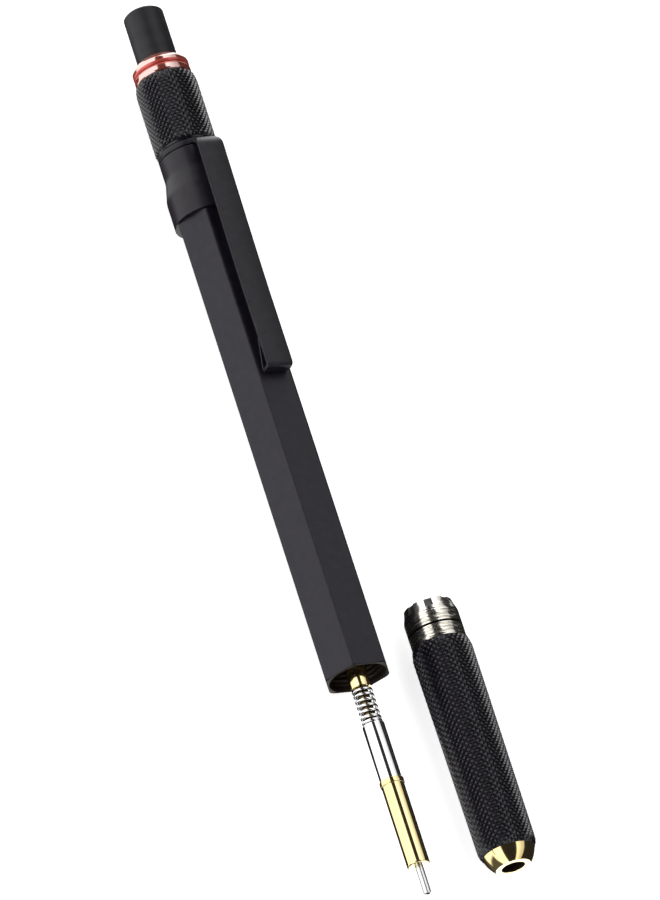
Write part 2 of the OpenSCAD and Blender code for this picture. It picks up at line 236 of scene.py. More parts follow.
def sweep_tube(points, r, n=10):
    """A round wire along a list of points, with flat caps."""
    rings = []
    side = Vector((0, 1, 0))
    for i, p in enumerate(points):
        ahead = points[min(i + 1, len(points) - 1)] - points[max(i - 1, 0)]
        t = ahead.normalized()
        a = (side - t * side.dot(t)).normalized()
        b = t.cross(a)
        rings.append([p + (a * math.cos(TAU * k / n) + b * math.sin(TAU * k / n)) * r * MM
                      for k in range(n)])
    return capped(rings)


COIL_POINTS_PER_TURN = 28
DEAD_TURNS = 0.75  # at each end, wound close


def coil_points(axis, mean, wire, pitch, low, high):
    """The line of a compression spring's wire: closed at both ends, even between them."""
    live = (high - low - wire - 2 * DEAD_TURNS * wire) / pitch
    turns = live + 2 * DEAD_TURNS
    count = int(turns * COIL_POINTS_PER_TURN)
    points = []
    for i in range(count + 1):
        t = turns * i / count
        first = min(t, DEAD_TURNS)
        open_turns = min(max(t - DEAD_TURNS, 0), live)
        final = max(t - DEAD_TURNS - live, 0)
        u = low + wire / 2 + first * wire + open_turns * pitch + final * wire
        points.append(at(axis, mean, u, TAU * t))
    return points


# ---------------------------------------------------------------- materials

def nodes_of(name):
    """A new material with only a Principled shader, and its tree and shader."""
    material = bpy.data.materials.new(name)
    material.use_nodes = True
    tree = material.node_tree
    tree.nodes.clear()
    out = tree.nodes.new("ShaderNodeOutputMaterial")
    shader = tree.nodes.new("ShaderNodeBsdfPrincipled")
    tree.links.new(shader.outputs[0], out.inputs[0])
    return material, tree, shader


def noise(tree, scale, detail, stretch):
    """Noise in millimetres of the row frame: scale is in features per mm, stretch squeezes an axis."""
    coords = tree.nodes.new("ShaderNodeTexCoord")
    mapping = tree.nodes.new("ShaderNodeMapping")
    mapping.inputs["Scale"].default_value = [s / MM for s in stretch]
    texture = tree.nodes.new("ShaderNodeTexNoise")
    texture.inputs["Scale"].default_value = scale
    texture.inputs["Detail"].default_value = detail
    tree.links.new(coords.outputs["Object"], mapping.inputs[0])
    tree.links.new(mapping.outputs[0], texture.inputs["Vector"])
    return texture.outputs["Fac"]


def ramp(tree, value, low, high):
    """Two tones mixed by a noise, most of whose values lie between the two stops."""
    node = tree.nodes.new("ShaderNodeValToRGB")
    for stop, position, tone in zip(node.color_ramp.elements, (0.35, 0.65), (low, high)):
        stop.position = position
        stop.color = (*tone, 1)
    tree.links.new(value, node.inputs[0])
    return node.outputs[0]


def map_range(tree, value, source, target):
    """A value's range (low, high) stretched to another, and held at its ends."""
    node = tree.nodes.new("ShaderNodeMapRange")
    node.inputs["From Min"].default_value, node.inputs["From Max"].default_value = source
    node.inputs["To Min"].default_value, node.inputs["To Max"].default_value = target
    tree.links.new(value, node.inputs[0])
    return node.outputs[0]


def bump(tree, value, depth, shader):
    """A relief of the given depth."""
    node = tree.nodes.new("ShaderNodeBump")
    node.inputs["Strength"].default_value = 1.0
    node.inputs["Distance"].default_value = depth * MM
    tree.links.new(value, node.inputs["Height"])
    tree.links.new(node.outputs[0], shader.inputs["Normal"])


def finish_of(name, low, high, rough, grain, depth, metallic=0.0, stretch=(1, 1, 1), coat=0.0,
              coat_rough=0.1, specular=0.5):
    """A finish with two tones, varied roughness and a fine relief, all from one scale of grain."""
    material, tree, shader = nodes_of(name)
    fine = noise(tree, grain, 3.0, stretch)
    broad = noise(tree, grain / 9, 2.0, stretch)
    tree.links.new(ramp(tree, broad, low, high), shader.inputs["Base Color"])
    tree.links.new(map_range(tree, fine, (0.3, 0.7), rough), shader.inputs["Roughness"])
    shader.inputs["Metallic"].default_value = metallic
    shader.inputs["Specular IOR Level"].default_value = specular
    shader.inputs["Coat Weight"].default_value = coat
    shader.inputs["Coat Roughness"].default_value = coat_rough
    bump(tree, fine, depth, shader)
    return material


RINGS = (0.02, 1, 0.02)  # turning marks, round the long axis
LENGTHWISE = (1, 0.03, 1)  # drawing marks, along it

barrel_paint = finish_of("satin_black_lacquer", (0.0070, 0.0052, 0.0106), (0.0109, 0.0086, 0.0159),
                         (0.36, 0.46), grain=7, depth=0.005, specular=0.32)
# The barrel's dark bore; its brown tint is a painted reflection, the glow of the brass tube mirrored inside
# the mouth.
bore_with_painted_brass_glow = finish_of("barrel_bore_painted_brass_glow", (0.018, 0.013, 0.010), (0.030, 0.021, 0.015), (0.45, 0.6),
                          metallic=0.25, grain=3, stretch=RINGS, depth=0.003, specular=0.2)
# Painted shade: dark brown metal for the nose's bore and the floor of the ring's run-out groove, the shade
# in those hollows.
bore_painted_shade = finish_of("bore_painted_shade", (0.012, 0.008, 0.004), (0.030, 0.020, 0.010), (0.45, 0.6), metallic=0.5,
                      grain=3, stretch=RINGS, depth=0.003, specular=0.2)
band_paint = finish_of("satin_black_band", (0.008, 0.006, 0.010), (0.012, 0.009, 0.014), (0.32, 0.42),
                       grain=7, depth=0.003, specular=0.31)
clip_paint = finish_of("satin_black_clip", (0.0062, 0.0053, 0.0085), (0.0102, 0.0088, 0.0135), (0.34, 0.44),
                       grain=7, depth=0.004, specular=0.30)
knob_paint = finish_of("knurl_black_lacquer", (0.006, 0.005, 0.008), (0.011, 0.009, 0.014), (0.18, 0.28),
                       grain=5, depth=0.003, specular=0.47)
button_paint = finish_of("button_black", (0.006, 0.006, 0.008), (0.010, 0.009, 0.013), (0.44, 0.54),
                         grain=6, stretch=RINGS, depth=0.002, specular=0.34)
red_ring = finish_of("red_anodised", (0.44, 0.075, 0.045), (0.54, 0.105, 0.07), (0.14, 0.22), metallic=0.35,
                     grain=6, stretch=RINGS, depth=0.001, coat=1.0, coat_rough=0.06, specular=0.8)
red_shader = red_ring.node_tree.nodes["Principled BSDF"]  # a strong coat with a warm tint
red_shader.inputs["Coat IOR"].default_value = 4.0
red_shader.inputs["IOR"].default_value = 2.2
red_shader.inputs["Specular Tint"].default_value = (1.0, 0.86, 0.62, 1.0)
# Painted light: a lighter, less glossy copy of the red for the groove round the ring's middle, so that it
# shows the coral tone the lamps give it.
red_groove_painted_light = finish_of("red_anodised_groove_painted_light", (0.58, 0.085, 0.060), (0.68, 0.12, 0.09), (0.20, 0.30),
                      metallic=0.35, grain=6, stretch=RINGS, depth=0.001, coat=0.4, specular=0.6)
chrome = finish_of("bright_chrome", (0.86, 0.86, 0.87), (0.94, 0.94, 0.95), (0.06, 0.13), metallic=1.0,
                   grain=8, stretch=LENGTHWISE, depth=0.0006)
pipe_steel = finish_of("drawn_pipe_steel", (0.70, 0.70, 0.71), (0.82, 0.82, 0.83), (0.24, 0.34),
                       metallic=1.0, grain=8, stretch=LENGTHWISE, depth=0.0006)
nickel = finish_of("turned_nickel", (0.72, 0.69, 0.62), (0.88, 0.85, 0.78), (0.12, 0.22), metallic=1.0,
                   grain=7, stretch=RINGS, depth=0.0015)
# The notches' faces: a rougher nickel for their milled surface, made dark as painted shade in the notches.
notch_nickel_painted_shade = finish_of("notch_nickel_painted_shade", (0.16, 0.15, 0.14), (0.26, 0.25, 0.23), (0.30, 0.42),
                          metallic=0.9, grain=7, depth=0.002)
brass = finish_of("polished_brass", (0.90, 0.71, 0.34), (0.97, 0.80, 0.43), (0.07, 0.15), metallic=1.0,
                  grain=8, stretch=LENGTHWISE, depth=0.0006)
gold = finish_of("polished_gold_plate", (0.90, 0.69, 0.30), (0.98, 0.79, 0.41), (0.06, 0.13), metallic=1.0,
                 grain=8, stretch=RINGS, depth=0.0008)
plain_brass = finish_of("dull_brass", (0.55, 0.37, 0.14), (0.70, 0.50, 0.22), (0.25, 0.4), metallic=1.0,
                        grain=5, stretch=RINGS, depth=0.002)
# Painted shade: the chuck's brass made dark, for the shade between the feed spring's coils where the chuck
# shows through.
chuck_painted_shade_brass = finish_of("chuck_brass_painted_shade", (0.17, 0.13, 0.06), (0.26, 0.20, 0.10), (0.12, 0.22), metallic=1.0,
                       grain=8, stretch=LENGTHWISE, depth=0.001)
spring_steel = finish_of("spring_steel", (0.84, 0.84, 0.84), (0.95, 0.95, 0.95), (0.14, 0.24), metallic=1.0,
                         grain=6, depth=0.001)
steel = finish_of("bright_steel", (0.58, 0.58, 0.59), (0.76, 0.76, 0.77), (0.14, 0.26), metallic=1.0,
                  grain=6, stretch=LENGTHWISE, depth=0.001)
rubber = finish_of("black_rubber", (0.012, 0.012, 0.011), (0.022, 0.022, 0.021), (0.65, 0.8), grain=6,
                   depth=0.004, specular=0.35)
graphite = finish_of("graphite", (0.030, 0.031, 0.034), (0.055, 0.056, 0.060), (0.35, 0.5), metallic=0.4,
                     grain=10, stretch=LENGTHWISE, depth=0.002)
eraser_white = finish_of("white_eraser", (0.70, 0.69, 0.66), (0.80, 0.79, 0.76), (0.7, 0.85), grain=5,
                         depth=0.004, specular=0.3)


# ---------------------------------------------------------------- barrel

CORNER = radius_of("barrel")
FLAT = CORNER * math.cos(math.pi / 6)
CORNER_ROUND = 0.30
FLAT_SHARES = (0.02, 0.1, 0.25, 0.42, 0.58, 0.75, 0.9, 0.98)  # where a flat is split
BARREL_END = along(PENCIL, "clip_band", 0)
BARREL_RINGS = 30
EDGE_LENGTH = 0.34  # of the turned edge at each end of the hexagon
NECK_R = 3.9  # inside the band, the clip's ring and the knob
NECK_END = along(PENCIL, "barrel", 1)


def hexagon_section():
    """Points (x, up) of a hexagon with rounded corners, its flats split near the corners and between."""
    centre = (FLAT - CORNER_ROUND) / math.cos(math.pi / 6)
    points = []
    for corner in range(6):
        direction = corner * math.pi / 3
        arc = []
        for k in range(7):
            a = direction + math.radians(-30 + 10 * k)
            arc.append(Vector((centre * math.cos(direction) + CORNER_ROUND * math.cos(a),
                               centre * math.sin(direction) + CORNER_ROUND * math.sin(a))))
        points += arc
        turn = Matrix.Rotation(math.pi / 3, 2)
        after = turn @ arc[0]
        for share in FLAT_SHARES:
            points.append(arc[-1].lerp(after, share))
    return points


SECTION = hexagon_section()


def hexagon_ring(u, shrink=0.0, limit=math.inf):
    """The barrel's section, made smaller by a length and cut off at a radius."""
    ring = []
    for p in SECTION:
        r = min(p.length - shrink, limit)
        ring.append(at(PENCIL, r, u, math.atan2(p.y, p.x)))
    return ring


def round_ring(u, radius):
    """A ring at the section's angles; the radius is a number or a function of angle and place."""
    ring = []
    for p in SECTION:
        a = math.atan2(p.y, p.x)
        ring.append(at(PENCIL, radius(a, u) if callable(radius) else radius, u, a))
    return ring


NECK_BORE, NECK_BORE_LOW = 3.37, 69
BARREL_BORE = 3.6
MOUTH_BORE, MOUTH_BORE_TOP, MOUTH_BORE_LOW = 3.94, 8, 0.45
MOUTH_RINGS = 96
THREAD_PITCH = 0.75
THREAD_DEPTH = 0.30
THREAD_SLOPE = 2.6  # the thread's flanks, so that its crests are flat
THREAD_LOW, THREAD_HIGH, THREAD_RUNOUT = 0.9, 7.2, 0.4


def mouth_radius(a, u):
    """The barrel's inner thread, which starts and ends in the plain bore."""
    phase = (u / THREAD_PITCH - a / TAU) % 1
    rise = min(1, THREAD_SLOPE * min(phase, 1 - phase))
    fade = max(0, min(1, (u - THREAD_LOW) / THREAD_RUNOUT, (THREAD_HIGH - u) / THREAD_RUNOUT))
    return MOUTH_BORE - THREAD_DEPTH * rise * fade


def make_barrel():
    """A hexagonal tube whose corners are turned down at both ends, with a round neck and a stepped bore."""
    # distance from the end, shrink, and how far inside the corners the turned edge lies
    front_edge = ((0.0, 0.10, 0.30), (0.03, 0.045, 0.24), (0.10, 0.0, 0.17), (0.22, 0.0, 0.05))
    back_edge = ((0.22, 0.0, 0.06), (0.04, 0.0, 0.24), (0.0, 0.04, 0.29))
    length = BARREL_END - 2 * EDGE_LENGTH
    rings = [hexagon_ring(u, shrink, CORNER - cut) for u, shrink, cut in front_edge]
    rings += [hexagon_ring(EDGE_LENGTH + length * k / BARREL_RINGS) for k in range(BARREL_RINGS + 1)]
    rings += [hexagon_ring(BARREL_END - u, shrink, CORNER - cut) for u, shrink, cut in back_edge]
    neck = ((BARREL_END, NECK_R), (NECK_END - 0.1, NECK_R), (NECK_END, NECK_R - 0.1))
    rings += [round_ring(u, r) for u, r in neck]
    first_inside = (len(rings) - 1) * len(SECTION)
    bore = ((NECK_END, NECK_BORE), (NECK_BORE_LOW, NECK_BORE), (NECK_BORE_LOW, BARREL_BORE),
            (MOUTH_BORE_TOP, BARREL_BORE), (MOUTH_BORE_TOP, MOUTH_BORE))
    rings += [round_ring(u, r) for u, r in bore]
    mouth = MOUTH_BORE_TOP - MOUTH_BORE_LOW
    rings += [round_ring(MOUTH_BORE_TOP - mouth * k / MOUTH_RINGS, mouth_radius)
              for k in range(1, MOUTH_RINGS + 1)]
    rings += [round_ring(0.16, MOUTH_BORE + 0.02), round_ring(0.0, MOUTH_BORE + 0.10)]
    verts, faces = grid(rings)
    # the bore and the faces at its ends take the dark bore with its painted brass glow
    return finish_mesh("barrel_tube", verts, faces, [barrel_paint, bore_with_painted_brass_glow], 28,
                       lambda face: int(face >= first_inside))


barrel = make_barrel()
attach(barrel, "barrel")
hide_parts("barrel")

BAND_R = radius_of("clip_band")
BAND_TOP = along(PENCIL, "clip_band", 1)
BAND_TOP_R = 4.28
TAPER_LOW, TAPER_HIGH = 76.2, 79.2
band = lathe("pocket_band", PENCIL, rounded([
    (NECK_R, BARREL_END), (BAND_R, BARREL_END, 0.09), (BAND_R, TAPER_LOW, 4.0),
    (BAND_TOP_R, TAPER_HIGH, 4.0), (BAND_TOP_R, BAND_TOP, 0.16), (NECK_R, BAND_TOP)], steps=6),
    [band_paint], 128)
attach(band, "barrel")
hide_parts("clip_band")


# ---------------------------------------------------------------- clip

CLIP_TOP = along(PENCIL, "clip_ring", 1)
CLIP_LOW = along(PENCIL, "clip_arm", 0)
CLIP_HALF = radius_of("clip_arm")
CLIP_OUTER = (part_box("clip_arm")[1].z - PENCIL.z) / MM
SHEET = 0.6
CLIP_BEND = 2.2  # outside radius
CLIP_BEND_TOP = 82.4
CLIP_KNEE, CLIP_KNEE_OUTER, CLIP_KNEE_ROUND = 64.0, 6.66, 20
CLIP_TIP_OUTER = 6.55
CLIP_BEVEL = 0.14
NARROW_LOW, NARROW_LENGTH, NARROW_CUT = 80.7, 1.3, 0.75  # the arm narrows towards the ring
LIP_R, LIP_RISE, LIP_CUT = 4.9, 0.4, 0.11  # the folded lip is pressed thinner
LIP_POINTS = 5  # at the end of the line, where the sheet is at its thinnest


def clip_line():
    """The middle of the sheet from the side: bend, slightly kneed spring, tip and folded lip."""
    middle = CLIP_TIP_OUTER - SHEET / 2
    end = CLIP_LOW + SHEET / 2
    bend_u, bend_r = CLIP_BEND_TOP - CLIP_BEND, CLIP_OUTER - CLIP_BEND
    r = CLIP_BEND - SHEET / 2
    line = [(82.78, 3.95), (82.55, 4.42)]
    for k in range(13):
        a = math.radians(90 * k / 12)
        line.append((bend_u + r * math.cos(a), bend_r + r * math.sin(a)))
    top_r = line[-1][1]
    knee_r = CLIP_KNEE_OUTER - SHEET / 2
    line += [(bend_u + (CLIP_KNEE - bend_u) * k / 5, top_r + (knee_r - top_r) * k / 5) for k in range(1, 5)]
    line += [(CLIP_KNEE, knee_r, CLIP_KNEE_ROUND)]
    line += [(end + 3.0 + 3.0 * k, middle) for k in range(3, -1, -1)]
    line += [(end, middle, 0.40), (end, 4.53, 0.26), (end + 4.5, 6.02)]
    return rounded(line, closed=False, steps=8)


def clip_strip():
    """A strip of bevelled sheet along that line."""
    path = clip_line()
    rings = []
    for i, p in enumerate(path):
        here = Vector(p)
        t = (Vector(path[min(i + 1, len(path) - 1)]) - Vector(path[max(i - 1, 0)])).normalized()
        normal = Vector((t.y, -t.x))
        lip = min(1, max(0, (LIP_R - here.y) / LIP_RISE)) if here.x < CLIP_KNEE else 0
        if i >= len(path) - LIP_POINTS:
            lip = 1
        h = SHEET / 2 - LIP_CUT * lip
        w = CLIP_HALF - NARROW_CUT * max(0, min(1, (here.x - NARROW_LOW) / NARROW_LENGTH)) ** 2
        section = rounded([(x, d, CLIP_BEVEL) for x, d in ((-w, -h), (w, -h), (w, h), (-w, h))], steps=3)
        rings.append([PENCIL + Vector((x, here.x + normal.x * d, here.y + normal.y * d)) * MM
                      for x, d in section])
    return capped(rings)


def make_clip():
    """The arm and the ring it is bent from, as one piece."""
    low, high = BAND_TOP + 0.10, CLIP_TOP - 0.10
    ring = revolve(PENCIL, rounded([
        (NECK_R, low), (BAND_TOP_R, low, 0.14), (BAND_TOP_R, high, 0.20), (NECK_R, high)], steps=3), 96)
    verts, faces = joined(ring, clip_strip())
    return finish_mesh("pocket_clip", verts, faces, [clip_paint], 30)


clip = make_clip()
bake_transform(clip)
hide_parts("clip_ring", "clip_arm")


# ---------------------------------------------------------------- knob, coloured ring and button

KNOB_LOW = along(PENCIL, "twist_knob", 0)
KNOB_TOP = along(PENCIL, "twist_knob", 1)
KNOB_R = radius_of("twist_knob")
KNOB_BORE = 3.8
KNOB_STARTS = 32
KNOB_DIAMOND = 0.90  # of the knurl, along the axis
CROWN_LENGTH, CROWN_DROP = 1.5, 0.24
FOOT_LENGTH, FOOT_SLOPE = 0.2, 0.9


def make_knob():
    """The knurled knob, slightly crowned at the button's end."""
    low, high = KNOB_LOW + 0.22, KNOB_TOP - 0.12
    crown, foot = KNOB_TOP - CROWN_LENGTH, low + FOOT_LENGTH

    def envelope(u):
        if u > crown:
            return KNOB_R - CROWN_DROP * ((u - crown) / CROWN_LENGTH) ** 2
        return KNOB_R - FOOT_SLOPE * max(0, foot - u)

    groove = groove_under(envelope, low, high)
    rows = 2 * round((high - low) / KNOB_DIAMOND)
    outer = knurl(PENCIL, low, high, rows, KNOB_STARTS, envelope, groove)
    inner = revolve(PENCIL, [
        (groove(high), high), (groove(high) - 0.10, KNOB_TOP), (KNOB_BORE, KNOB_TOP),
        (KNOB_BORE, KNOB_LOW), (groove(low) - 0.12, KNOB_LOW), (groove(low), low)],
        2 * KNOB_STARTS, closed=False)
    verts, faces = joined(outer, inner)
    return finish_mesh("twist_knob_knurled", verts, faces, [knob_paint], 18)


knob = make_knob()
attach(knob, "knob")
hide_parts("twist_knob")

INDEX_R = radius_of("index_ring")
INDEX_TOP = along(PENCIL, "index_ring", 1)
INDEX_LOW = along(PENCIL, "index_ring", 0)
INDEX_BORE = 2.95
INDEX_STEM_R = 3.4  # of the part inside the knob
WAIST, WAIST_DEPTH, WAIST_HALF = 96.05, 0.36, 0.40  # the groove round the ring's middle
collar = lathe("index_collar", PENCIL, rounded([
    (INDEX_BORE, INDEX_LOW), (INDEX_STEM_R, INDEX_LOW), (INDEX_STEM_R, KNOB_TOP + 0.02),
    (INDEX_R, KNOB_TOP + 0.02, 0.42), (INDEX_R, WAIST - 0.06, 0.42), (INDEX_R - WAIST_DEPTH, WAIST, 0.05),
    (INDEX_R, WAIST + 0.06, 0.40), (INDEX_R, WAIST + 0.90, 0.5), (3.15, INDEX_TOP, 0.45),
    (INDEX_BORE, INDEX_TOP, 0.08)], steps=7), [red_ring], 128, 40)
# the groove round the middle takes the lighter red: painted light
collar.data.materials.append(red_groove_painted_light)
for poly in collar.data.polygons:
    if abs((poly.center.y - PENCIL.y) / MM - WAIST) < WAIST_HALF:
        poly.material_index = 1
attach(collar, "knob")
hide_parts("index_ring")

BUTTON_R = radius_of("push_button")
BUTTON_LOW = along(PENCIL, "push_button", 0)
BUTTON_TOP = along(PENCIL, "push_button", 1)
BUTTON_BORE, BUTTON_FLOOR = 2.45, BUTTON_TOP - 1.2
button = lathe("push_button_cap", PENCIL, rounded([
    (0, BUTTON_TOP - 0.10), (1.2, BUTTON_TOP - 0.04), (BUTTON_R - 0.55, BUTTON_TOP, 0.5),
    (BUTTON_R, BUTTON_TOP - 0.42, 0.30), (BUTTON_R, BUTTON_LOW, 0.1), (BUTTON_BORE, BUTTON_LOW),
    (BUTTON_BORE, BUTTON_FLOOR), (0, BUTTON_FLOOR)], steps=6), [button_paint], 128, 34)
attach(button, "button")
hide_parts("push_button")


# ---------------------------------------------------------------- mechanism at the front

TUBE_LOW = along(PENCIL, "lead_tube", 0)
TUBE_TOP = along(PENCIL, "lead_tube", 1)
TUBE_R = radius_of("lead_tube")
TUBE_BORE = 1.05
lead_tube = lathe("lead_reservoir_tube", PENCIL, rounded([
    (TUBE_BORE, TUBE_LOW), (TUBE_R, TUBE_LOW, 0.12), (TUBE_R, TUBE_TOP), (TUBE_BORE, TUBE_TOP)], steps=3),
    [brass], 72)
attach(lead_tube, "feed_rod")
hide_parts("lead_tube")

HOUSING_R = radius_of("housing_tube")
HOUSING_TOP = along(PENCIL, "housing_tube", 1)
HOUSING_LOW = along(PENCIL, "housing_tube", 0)
HOUSING_BORE = 1.27
STEM_HOLE, STEM_HOLE_LOW = 0.87, HOUSING_TOP - 1
housing = lathe("chuck_housing", PENCIL, rounded([
    (STEM_HOLE, HOUSING_TOP, 0.04), (HOUSING_R, HOUSING_TOP, 0.13), (HOUSING_R, HOUSING_LOW, 0.03),
    (HOUSING_BORE, HOUSING_LOW), (HOUSING_BORE, STEM_HOLE_LOW), (STEM_HOLE, STEM_HOLE_LOW)], steps=3),
    [chrome], 96)
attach(housing, "tip")
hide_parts("housing_tube")

COLLAR_R = radius_of("front_tube")
COLLAR_FRONT = HOUSING_LOW - 0.8
FRONT_FACE = along(PENCIL, "front_tube", 0)
FRONT_TOP = along(PENCIL, "front_tube", 1)
FRONT_R = 1.57
SPIGOT_R, SPIGOT_BORE = 1.25, 0.95  # of the end inside the housing
JAW_BORE, JAW_BORE_END = 1.3, -23.9
BUSH_BORE, BUSH_BORE_END = 1.15, -25.9
PIPE_SEAT_R, PIPE_TOP = 0.62, -26.9
front_tube = lathe("front_guide_tube", PENCIL, rounded([
    (PIPE_SEAT_R, FRONT_FACE, 0.03), (FRONT_R, FRONT_FACE, 0.22), (FRONT_R, COLLAR_FRONT, 0.04),
    (COLLAR_R, COLLAR_FRONT, 0.10), (COLLAR_R, HOUSING_LOW, 0.10), (SPIGOT_R, HOUSING_LOW),
    (SPIGOT_R, FRONT_TOP), (SPIGOT_BORE, FRONT_TOP), (SPIGOT_BORE, COLLAR_FRONT),
    (JAW_BORE, COLLAR_FRONT), (JAW_BORE, JAW_BORE_END), (BUSH_BORE, JAW_BORE_END),
    (BUSH_BORE, BUSH_BORE_END), (SPIGOT_BORE, BUSH_BORE_END), (SPIGOT_BORE, PIPE_TOP),
    (PIPE_SEAT_R, PIPE_TOP)], steps=4), [brass], 96)
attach(front_tube, "tip")
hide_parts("front_tube")

PIPE_TIP = along(PENCIL, "lead_pipe", 0)
PIPE_R, PIPE_BORE = 0.536, 0.33
pipe = lathe("lead_guide_pipe", PENCIL, rounded([
    (PIPE_BORE, PIPE_TIP + 0.03), (PIPE_BORE + 0.05, PIPE_TIP), (PIPE_R, PIPE_TIP, 0.06),
    (PIPE_R, FRONT_FACE), (PIPE_SEAT_R, FRONT_FACE), (PIPE_SEAT_R, PIPE_TOP), (PIPE_BORE, PIPE_TOP)],
    steps=3), [pipe_steel], 48)
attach(pipe, "tip")
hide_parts("lead_pipe")

SPRING_GAP = 0.01  # between a spring's end and what it presses on
FEED_WIRE, FEED_PITCH = 0.42, 0.83
feed_line = coil_points(PENCIL, radius_of("feed_spring") - FEED_WIRE / 2, FEED_WIRE, FEED_PITCH,
                        HOUSING_TOP + SPRING_GAP, TUBE_LOW - SPRING_GAP)
verts, faces = sweep_tube(feed_line, FEED_WIRE / 2, 12)
feed_spring = finish_mesh("feed_spring_coil", verts, faces, [spring_steel], 50)
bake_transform(feed_spring)
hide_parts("feed_spring")

RETURN_LOW = along(PENCIL, "return_spring", 0)
RETURN_TOP = along(PENCIL, "return_spring", 1)
RETURN_WIRE, RETURN_PITCH = 0.4, 1.5
PRESS_TURNS = 2.6  # the turns at the top, which the press on the button takes up
return_line = coil_points(PENCIL, radius_of("return_spring") - RETURN_WIRE / 2, RETURN_WIRE, RETURN_PITCH,
                          RETURN_LOW + SPRING_GAP, RETURN_TOP - SPRING_GAP)
SEAM = len(return_line) - int(PRESS_TURNS * COIL_POINTS_PER_TURN)
SEAM_POINT = Vector((return_line[0].x, return_line[SEAM].y, return_line[0].z))
for name, line, bodies, ends in (
        ("return_spring_coil", return_line[:SEAM], ("barrel", "tip"),
         (PENCIL + Vector((0, RETURN_LOW, 0)) * MM, SEAM_POINT)),
        ("return_spring_top_coil", return_line[SEAM:], ("tip", "feed_rod"),
         (SEAM_POINT, PENCIL + Vector((0, RETURN_TOP, 0)) * MM))):
    verts, faces = sweep_tube(line, RETURN_WIRE / 2, 10)
    coil = finish_mesh(name, verts, faces, [spring_steel], 50)
    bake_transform(coil)
    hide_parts("return_spring")


# ---------------------------------------------------------------- grip

SLEEVE_LOW = along(GRIP, "grip_sleeve", 0)
SLEEVE_R = radius_of("grip_sleeve")
SLEEVE_FRONT_R = 4.07
SLEEVE_BORE = 3.4
SLEEVE_STARTS = 30
SLEEVE_DIAMOND = 0.88  # of the knurl, along the axis
BACK_DROP, BACK_LENGTH = 0.25, 1.2
FRONT_DROP, FRONT_LENGTH = 0.37, 1.25


def make_sleeve():
    """The knurled sleeve, tapering towards the nose, with both ends eased."""
    low, high = SLEEVE_LOW, 0.0

    def envelope(u):
        r = SLEEVE_R + (SLEEVE_FRONT_R - SLEEVE_R) * (u / low)
        back = BACK_DROP * max(0, 1 + u / BACK_LENGTH)
        return r - back - FRONT_DROP * max(0, 1 - (u - low) / FRONT_LENGTH) ** 2

    groove = groove_under(envelope, low, high)
    rows = 2 * round((high - low) / SLEEVE_DIAMOND)
    outer = knurl(GRIP, low, high, rows, SLEEVE_STARTS, envelope, groove)
    inner = revolve(GRIP, [
        (groove(high), high), (SLEEVE_BORE, high), (SLEEVE_BORE, low), (groove(low), low)],
        2 * SLEEVE_STARTS, closed=False)
    verts, faces = joined(outer, inner)
    return finish_mesh("grip_sleeve_knurled", verts, faces, [knob_paint], 18)


sleeve = make_sleeve()
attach(sleeve, "grip")
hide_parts("grip_sleeve")

NOSE_LOW = along(GRIP, "nose_cone", 0)
NOSE_FRONT_R = 2.44
NOSE_BORE = 1.62
SEAT, SEAT_BORE, NOSE_TOP = -21.75, 2.2, -18.75  # the shoulder inside, and the end within the sleeve
# the convex side, from the sleeve's end towards the front face
NOSE_SIDE = [(3.64, SLEEVE_LOW), (3.54, -31.85), (3.41, -32.2), (3.24, -32.55), (3.06, -32.87),
             (2.80, -33.24)]
nose = lathe("nose_piece", GRIP, rounded(
    [(SLEEVE_BORE, NOSE_TOP), (SLEEVE_BORE, SLEEVE_LOW)] + NOSE_SIDE
    + [(NOSE_FRONT_R, NOSE_LOW, 0.10), (NOSE_BORE, NOSE_LOW, 0.06), (NOSE_BORE, SEAT), (SEAT_BORE, SEAT),
       (SEAT_BORE, NOSE_TOP)], steps=4), [gold], 128, 24)
# the nose's bore is painted dark: painted shade
paint_inside(nose, GRIP, NOSE_BORE + 0.02, NOSE_LOW + 0.05, bore_painted_shade)
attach(nose, "grip")
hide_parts("nose_cone")

RING_TOP = along(GRIP, "thread_ring", 1)
RING_LOW = along(GRIP, "thread_ring", 0)
THREAD_R, ROOT_R, RING_BORE = 3.86, 3.62, 2.95
FINE_PITCH = 0.5
ROOT_SLOPE = 3.2  # the thread's flanks, so that its crests are wide and flat
RUNOUT_LOW, RUNOUT_HIGH = 0.3, 0.25  # lengths over which the thread fades out at its ends
THREAD_STEPS = 64
GROOVE_U, GROOVE_HALF, GROOVE_FLOOR = 2.1, 0.16, 3.3
LAND_HALF, LAND_FADE = 0.18, 0.12  # the plain edge beside the groove, and the fade after it
RIM_U, RIM_R, RIM_EDGE_R = 4.2, 3.42, 3.07
NOTCHES = 8
NOTCH_DEPTH, NOTCH_FLOOR = 1.3, 3.15
NOTCH_WIDTH, NOTCH_WIDTH_AT = 1.1, 3.5  # the width, and the radius where it is measured
NOTCH_TURN = 25.4  # degrees
GAP_STEPS = 8  # between two notches


def thread_radius(a, u):
    """The outside of the threaded ring: two lengths of thread with a run-out groove between them."""
    if abs(u - GROOVE_U) < GROOVE_HALF:
        return GROOVE_FLOOR
    phase = (u / FINE_PITCH - a / TAU) % 1
    cut = max(0, 1 - ROOT_SLOPE * min(phase, 1 - phase))
    beside_groove = (abs(u - GROOVE_U) - LAND_HALF) / LAND_FADE
    runout = max(0, min(u / RUNOUT_LOW, (RIM_U - u) / RUNOUT_HIGH, beside_groove, 1))
    return THREAD_R - (THREAD_R - ROOT_R) * cut * runout


